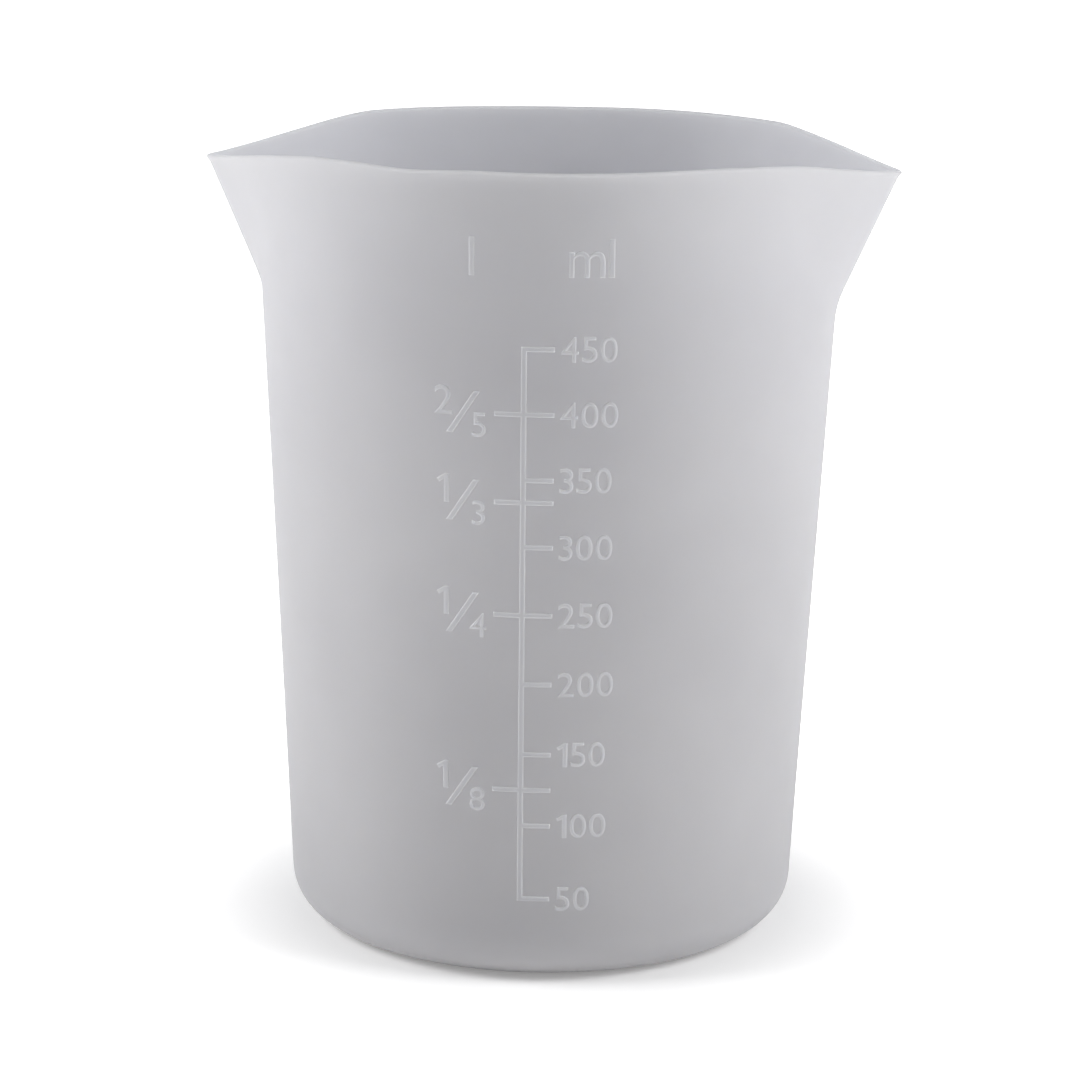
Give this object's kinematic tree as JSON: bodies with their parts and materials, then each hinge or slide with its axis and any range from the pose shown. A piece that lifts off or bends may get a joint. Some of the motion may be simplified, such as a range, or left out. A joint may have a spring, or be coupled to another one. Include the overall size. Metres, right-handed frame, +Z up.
{
  "type": "silicone measuring cup",
  "caption": "Tapered soft silicone measuring cup with a rounded base, two opposed pouring spouts and a raised scale in millilitres and fractions of a litre.",
  "frame": {"origin": "centre of the flat underside, on the surface the cup stands on", "axes": "+Z up out of the mouth, spouts along +X and -X, scale facing -Y"},
  "size_m": [0.107, 0.091, 0.123],
  "materials": {
    "silicone_body": "translucent milky silicone, satin",
    "silicone_marks": "translucent milky silicone, satin, raised relief"
  },
  "bodies": {
    "root": {"cup_body": "silicone_body", "scale_line": "silicone_marks", "number_450_digit_1": "silicone_marks", "number_450_digit_2": "silicone_marks", "number_450_digit_3": "silicone_marks", "number_400_digit_1": "silicone_marks", "number_400_digit_2": "silicone_marks", "number_400_digit_3": "silicone_marks", "number_350_digit_1": "silicone_marks", "number_350_digit_2": "silicone_marks", "number_350_digit_3": "silicone_marks", "number_300_digit_1": "silicone_marks", "number_300_digit_2": "silicone_marks", "number_300_digit_3": "silicone_marks", "number_250_digit_1": "silicone_marks", "number_250_digit_2": "silicone_marks", "number_250_digit_3": "silicone_marks", "number_200_digit_1": "silicone_marks", "number_200_digit_2": "silicone_marks", "number_200_digit_3": "silicone_marks", "number_150_digit_1": "silicone_marks", "number_150_digit_2": "silicone_marks", "number_150_digit_3": "silicone_marks", "number_100_digit_1": "silicone_marks", "number_100_digit_2": "silicone_marks", "number_100_digit_3": "silicone_marks", "number_50_digit_1": "silicone_marks", "number_50_digit_2": "silicone_marks", "fraction_2_5_numerator": "silicone_marks", "fraction_2_5_slash": "silicone_marks", "fraction_2_5_denominator": "silicone_marks", "fraction_1_3_numerator": "silicone_marks", "fraction_1_3_slash": "silicone_marks", "fraction_1_3_denominator": "silicone_marks", "fraction_1_4_numerator": "silicone_marks", "fraction_1_4_slash": "silicone_marks", "fraction_1_4_denominator": "silicone_marks", "fraction_1_8_numerator": "silicone_marks", "fraction_1_8_slash": "silicone_marks", "fraction_1_8_denominator": "silicone_marks", "unit_ml_m": "silicone_marks", "unit_ml_l": "silicone_marks", "unit_litre_l": "silicone_marks"}
  },
  "joints": []
}
